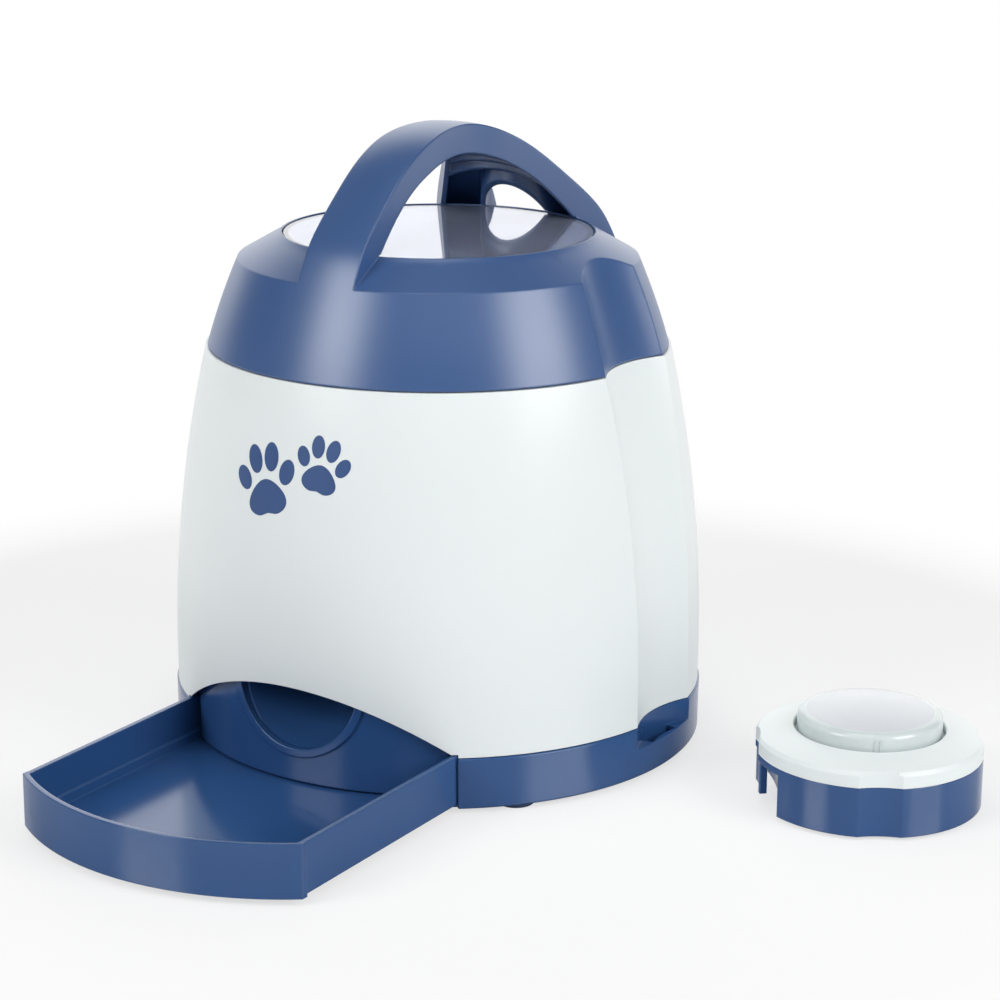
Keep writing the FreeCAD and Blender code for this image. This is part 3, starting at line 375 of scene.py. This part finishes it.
finishes = {
    "satinBlueAbs": ["lid"],
    "glossBlueAbs": ["base_housing", "guard_wall", "drop_chute", "treat_drawer", "battery_door",
                     "remote_base", "remote_door", "remote_feet"],
    "whiteAbs": ["body_shell", "remote_ring"],
    "clearPolycarbonate": ["lid_window"],
    "cloudyPolycarbonate": ["remote_button"],
    "greyPolypropylene": ["food_hopper", "hopper_baffle", "mechanism_deck"],
    "naturalAcetal": ["portion_wheel", "drive_gear"],
    "blackAbs": ["gearbox_case", "power_switch", "power_slider", "speaker"],
    "greySilicone": ["lid_seal", "return_pad"],
    "navyRubber": ["rubber_feet"],
    "greenBoard": ["control_board", "remote_board"],
    "cellSleeve": ["battery_cells", "remote_cells"],
    "clearEpoxy": ["remote_lamp"],
    "platedSteel": ["wheel_shaft", "drive_pinion", "motor_can", "base_screws", "battery_contacts",
                    "door_screw", "remote_contacts", "remote_screws"],
}
finishOf = {piece: finish for finish, pieces in finishes.items() for piece in pieces}
for name, node in nodes.items():
    node.data.materials.clear()
    node.data.materials.append(materials[finishOf[name]])

# Pieces whose edges catch the light get moulded corners: a merged copy with a bevel. Lid and guard
# wall have no room for one between their short facets, and keep to the corner radius of their finish.
softEdges = {
    "lid": {"body": "lid", "slot": "blue_shell", "widthMm": 0, "flatDegrees": 0.05, "longMm": 6,
            "halvings": 3, "curveDegrees": (0.2, 25)},
    "body_shell": {"body": "dispenser", "slot": "white_shell", "widthMm": 0.6, "angle": 32},
    "base_housing": {"body": "dispenser", "slot": "blue_base", "widthMm": 0.35, "angle": 32},
    "treat_drawer": {"body": "drawer", "slot": "blue_base", "widthMm": 0.45, "angle": 32},
    "guard_wall": {"body": "dispenser", "slot": "blue_base", "widthMm": 0},
    "remote_base": {"body": "remote", "slot": "blue_base", "widthMm": 0.3, "angle": 32},
    "remote_ring": {"body": "remote", "slot": "white_shell", "widthMm": 0.9, "angle": 18},
}
# What holds where a piece's own row says nothing else: mergeMm closes the CAD mesh, flatDegrees is the
# lean up to which facets are one flat, and a surface counts as turned while less than strayShare of its
# area faces round the axis
softening = {"mergeMm": 0.002, "flatDegrees": 0.4, "segments": 2, "shadeDegrees": 25, "strayShare": 0.06,
             "tiny": 1e-6}


def steadyNormals(mesh, trim, s):
    # CAD facets are long and thin, and a plain smooth shade streaks across them. Each corner here
    # takes the mean of the faces round it that lean nearly as its own does. Where the surface is
    # turned about the upright axis the mean is taken in the plane through that axis. A bevel's
    # corners copy the face beside them, so flats stay flat up to their edges.
    limit = math.cos(math.radians(s["shadeDegrees"]))
    faces = mesh.polygons
    isTrim = [flag.value for flag in mesh.attributes[trim].data]
    beside = [[] for vertex in mesh.vertices]
    acrossEdge = {}
    lean = []
    for face in faces:
        out = Vector((face.center.x, face.center.y, 0)).normalized()
        along = Vector((-out.y, out.x, 0))
        lean.append((face.normal.dot(out), face.normal.z, abs(face.normal.dot(along)) * face.area))
        for v in face.vertices:
            beside[v].append(face.index)
        for key in face.edge_keys:
            acrossEdge.setdefault(key, []).append(face.index)

    # Faces that run smoothly into each other are one surface, and it is turned if nearly all of it is
    isTurned = [None] * len(faces)
    for first in faces:
        if isTurned[first.index] is not None:
            continue
        surface = {first.index}
        waiting = [first.index]
        while waiting:
            here = waiting.pop()
            for key in faces[here].edge_keys:
                for other in acrossEdge[key]:
                    if (other not in surface and isTrim[other] == isTrim[here]
                            and faces[other].normal.dot(faces[here].normal) > limit):
                        surface.add(other)
                        waiting.append(other)
        area = sum(faces[f].area for f in surface)
        turned = sum(lean[f][2] for f in surface) < s["strayShare"] * area
        for f in surface:
            isTurned[f] = turned

    def meanAt(v, index, pool):
        place = mesh.vertices[v].co
        out = Vector((place.x, place.y, 0)).normalized()
        own = faces[index].normal
        turned = isTurned[index]
        total = Vector()
        for other in pool:
            if faces[other].normal.dot(own) < limit or isTurned[other] != turned:
                continue
            if turned:
                total += (out * lean[other][0] + Vector((0, 0, lean[other][1]))).normalized()
            else:
                total += faces[other].normal
        return total.normalized() if total.length > s["tiny"] else own

    corners = []
    for face in faces:
        for v in face.vertices:
            mains = [f for f in beside[v] if not isTrim[f]]
            if not isTrim[face.index]:
                corners.append(meanAt(v, face.index, mains))
            elif mains:
                nearest = max(mains, key=lambda f: faces[f].normal.dot(face.normal))
                corners.append(meanAt(v, nearest, mains))
            else:
                corners.append(meanAt(v, face.index, beside[v]))
    mesh.normals_split_custom_set(corners)


def softenEdges(name, s):
    bm = bmesh.new()
    bm.from_mesh(nodes[name].data)
    bmesh.ops.remove_doubles(bm, verts=bm.verts, dist=softening["mergeMm"] * mm)
    flat = math.radians(s.get("flatDegrees", softening["flatDegrees"]))
    bmesh.ops.dissolve_limit(bm, angle_limit=flat, verts=bm.verts, edges=bm.edges,
                             use_dissolve_boundaries=False)
    for halving in range(s.get("halvings", 0)):
        # a long facet of a curved side is cut across, so that its shade follows the curve all along
        least, most = [math.radians(degrees) for degrees in s["curveDegrees"]]
        long = [e for e in bm.edges if e.is_manifold and e.calc_length() > s["longMm"] * mm
                and least < e.calc_face_angle() < most]
        bmesh.ops.subdivide_edges(bm, edges=long, cuts=1)
    trim = bm.faces.layers.bool.new("trim")
    if s["widthMm"]:
        sharp = [e for e in bm.edges if e.is_manifold and e.calc_face_angle() > math.radians(s["angle"])]
        length = sum(e.calc_length() for e in sharp)
        made = bmesh.ops.bevel(bm, geom=sharp, offset=s["widthMm"] * mm, segments=softening["segments"],
                               profile=0.5, affect="EDGES", material=-1, clamp_overlap=True,
                               miter_outer="ARC")
        for face in made["faces"]:
            face[trim] = True
        print(name, "bevel strip, mm:", round(sum(f.calc_area() for f in made["faces"]) / length / mm, 3))
    mesh = bpy.data.meshes.new(name + "_soft")
    bm.to_mesh(mesh)
    bm.free()
    mesh.shade_smooth()
    steadyNormals(mesh, "trim", softening)
    finishPiece(name + "_soft", mesh, [finishOf[name]], s, name)


def finishPiece(name, mesh, finishNames, s, stands=None):
    piece = bpy.data.objects.new(name, mesh)
    bpy.context.scene.collection.objects.link(piece)
    for finish in finishNames:
        mesh.materials.append(materials[finish])
    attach(piece, s["body"])
    if stands:
        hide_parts(stands)


for name, settings in softEdges.items():
    softenEdges(name, settings)
    print("softened", name)

# Dome of the remote's button: a shallow cap with a rounded rim over a smooth side, and the mould's
# small gate between two ribs on the side that faces the viewer
domeSettings = {
    "body": "button", "slot": "frosted_dome", "centre": (202.4, 12.8), "radius": 29.7, "rim": 38.2,
    "crown": 3.2, "rimRound": 2.2, "rimSegments": 5, "skin": 1.8, "flangeRadius": 34.0, "flangeLow": 27.3,
    "flangeTop": 29.2, "prismRadius": 26.6, "outerSteps": 8, "innerSteps": 4, "turnSteps": 96,
    "creaseDegrees": 40, "capUp": 0.9,
    "gate": {"azimuth": -60, "spread": 1.1, "width": 0.55, "proud": 0.35, "root": 1.0, "low": 30.0,
             "high": 36.6},
}


def makeDome(s):
    ball = (s["radius"] ** 2 + s["crown"] ** 2) / (2 * s["crown"])
    top = s["rim"] + s["crown"]

    def domeHeight(r, inset=0.0):
        return top - ball + math.sqrt((ball - inset) ** 2 - r ** 2)

    inner = s["radius"] - s["skin"]
    outer, within = s["outerSteps"], s["innerSteps"]
    profile = [(s["radius"] * i / outer, domeHeight(s["radius"] * i / outer)) for i in range(outer + 1)]
    profile += [(s["radius"], s["flangeTop"]), (s["flangeRadius"], s["flangeTop"]),
                (s["flangeRadius"], s["flangeLow"]), (inner, s["flangeLow"])]
    profile += [(inner * i / within, domeHeight(inner * i / within, s["skin"]))
                for i in range(within, -1, -1)]
    bm = bmesh.new()
    centre = Vector((s["centre"][0], s["centre"][1], 0)) * mm
    points = [bm.verts.new(centre + Vector((r, 0, z)) * mm) for r, z in profile]
    lines = [bm.edges.new(pair) for pair in zip(points, points[1:])]
    bmesh.ops.spin(bm, geom=points + lines, axis=(0, 0, 1), cent=centre, dvec=(0, 0, 0), angle=2 * math.pi,
                   steps=s["turnSteps"], use_merge=True, use_duplicate=False)
    bmesh.ops.remove_doubles(bm, verts=bm.verts, dist=softening["mergeMm"] * mm)

    def isOnRim(v):
        near = 0.01 * mm
        aside = (v.co - centre).xy.length - s["radius"] * mm
        return abs(aside) < near and abs(v.co.z - s["rim"] * mm) < near

    rims = [e for e in bm.edges if all(isOnRim(v) for v in e.verts)]
    bmesh.ops.bevel(bm, geom=rims, offset=s["rimRound"] * mm, segments=s["rimSegments"], profile=0.5,
                    affect="EDGES", material=-1, clamp_overlap=False)
    bmesh.ops.recalc_face_normals(bm, faces=bm.faces)
    for face in bm.faces:
        face.smooth = True
        middle = face.calc_center_median()
        isOnCap = face.normal.z > s["capUp"] and middle.z > s["rim"] * mm
        if isOnCap and (middle - centre).xy.length < s["prismRadius"] * mm:
            face.material_index = 1
    for edge in bm.edges:
        edge.smooth = not edge.is_manifold or edge.calc_face_angle() < math.radians(s["creaseDegrees"])
    gate = s["gate"]
    tall = gate["high"] - gate["low"]
    outwards = s["radius"] - gate["root"] / 2 + gate["proud"] / 2
    turn = Matrix.Rotation(math.radians(gate["azimuth"]), 3, "Z")
    for side in (-1, 1):
        rib = bmesh.ops.create_cube(bm, size=1.0)["verts"]
        bmesh.ops.scale(bm, verts=rib, vec=Vector((gate["root"] + gate["proud"], gate["width"], tall)) * mm)
        place = Vector((outwards, side * gate["spread"], (gate["low"] + gate["high"]) / 2))
        bmesh.ops.translate(bm, verts=rib, vec=place * mm)
        bmesh.ops.rotate(bm, verts=rib, cent=(0, 0, 0), matrix=turn)
        bmesh.ops.translate(bm, verts=rib, vec=centre)
    mesh = bpy.data.meshes.new("buttonDome")
    bm.to_mesh(mesh)
    bm.free()
    finishPiece("buttonDome", mesh, ["cloudyPolycarbonate", "prismPolycarbonate"], s, "remote_button")


makeDome(domeSettings)
print("button dome ready")

# Two paw prints on the front of the shell, in thin ink that follows its curve
pawPrints = {
    "body": "dispenser", "slot": "blue_base", "sideRadius": 115.4, "arcStart": 41.0, "arcRadius": 583.0,
    "lift": 0.02, "thick": 0.07, "segments": 40, "rings": 5, "ringInset": 0.17,
    "prints": [{"azimuth": -98.2, "height": 132.0, "scale": 1.0, "tilt": 14},
               {"azimuth": -83.6, "height": 141.5, "scale": 0.78, "tilt": -10}],
    # each toe: centre across and up, half width, half height, tilt
    "toes": [(-11.8, 2.6, 3.7, 5.3, 26), (-4.5, 9.6, 3.8, 5.9, 8),
             (4.5, 9.6, 3.8, 5.9, -8), (11.8, 2.6, 3.7, 5.3, -26)],
    # the main pad narrows upwards, and its lower edge has a shallow notch, slimmer for a larger narrow
    "pad": {"place": (0.0, -6.6), "half": (9.8, 7.6), "taper": 0.30, "notch": 1.5, "narrow": 4},
}


def addPad(bm, s, place, half, tilt=0, taper=0.0, notch=0.0, narrow=1):
    # A disc in rings, so that it can follow the shell, drawn out to a toe or to the main pad
    verts = bmesh.ops.create_circle(bm, cap_ends=True, segments=s["segments"], radius=1.0)["verts"]
    middle = verts[0].link_faces[0]
    for ring in range(s["rings"]):
        made = bmesh.ops.inset_individual(bm, faces=[middle], thickness=s["ringInset"])
        for face in made["faces"]:
            verts += [v for v in face.verts if v not in verts]
    verts += [v for v in middle.verts if v not in verts]
    turn = Matrix.Rotation(math.radians(tilt), 2)
    for v in verts:
        x, y = v.co.x, v.co.y
        across = x * half[0] * (1 - taper * y)
        up = y * half[1] + notch * math.exp(-(narrow * x) ** 2) * max(-y, 0.0)
        v.co.xy = turn @ Vector((across, up)) + Vector(place)


def makePaws(s):
    def sideRadius(z):
        above = max(z - s["arcStart"], 0)
        return s["sideRadius"] - s["arcRadius"] + math.sqrt(s["arcRadius"] ** 2 - above ** 2)

    for number, paw in enumerate(s["prints"]):
        bm = bmesh.new()
        for x, y, wide, tall, tilt in s["toes"]:
            addPad(bm, s, (x, y), (wide, tall), tilt)
        addPad(bm, s, **s["pad"])
        bmesh.ops.scale(bm, verts=bm.verts, vec=(paw["scale"], paw["scale"], 1))
        bmesh.ops.rotate(bm, verts=bm.verts, cent=(0, 0, 0),
                         matrix=Matrix.Rotation(math.radians(paw["tilt"]), 3, "Z"))
        bmesh.ops.recalc_face_normals(bm, faces=bm.faces)
        if bm.faces[0].normal.z < 0:
            bmesh.ops.reverse_faces(bm, faces=bm.faces)
        bmesh.ops.solidify(bm, geom=bm.faces[:], thickness=s["thick"])
        lowest = min(v.co.z for v in bm.verts)
        for v in bm.verts:
            height = paw["height"] + v.co.y
            radius = sideRadius(height)
            angle = math.radians(paw["azimuth"]) + v.co.x / radius
            out = radius + s["lift"] + v.co.z - lowest
            v.co = Vector((out * math.cos(angle), out * math.sin(angle), height)) * mm
        bmesh.ops.recalc_face_normals(bm, faces=bm.faces)
        mesh = bpy.data.meshes.new("pawPrint")
        bm.to_mesh(mesh)
        bm.free()
        finishPiece("pawPrint_" + str(number + 1), mesh, ["padPrintInk"], s)


makePaws(pawPrints)
print("paw prints ready")
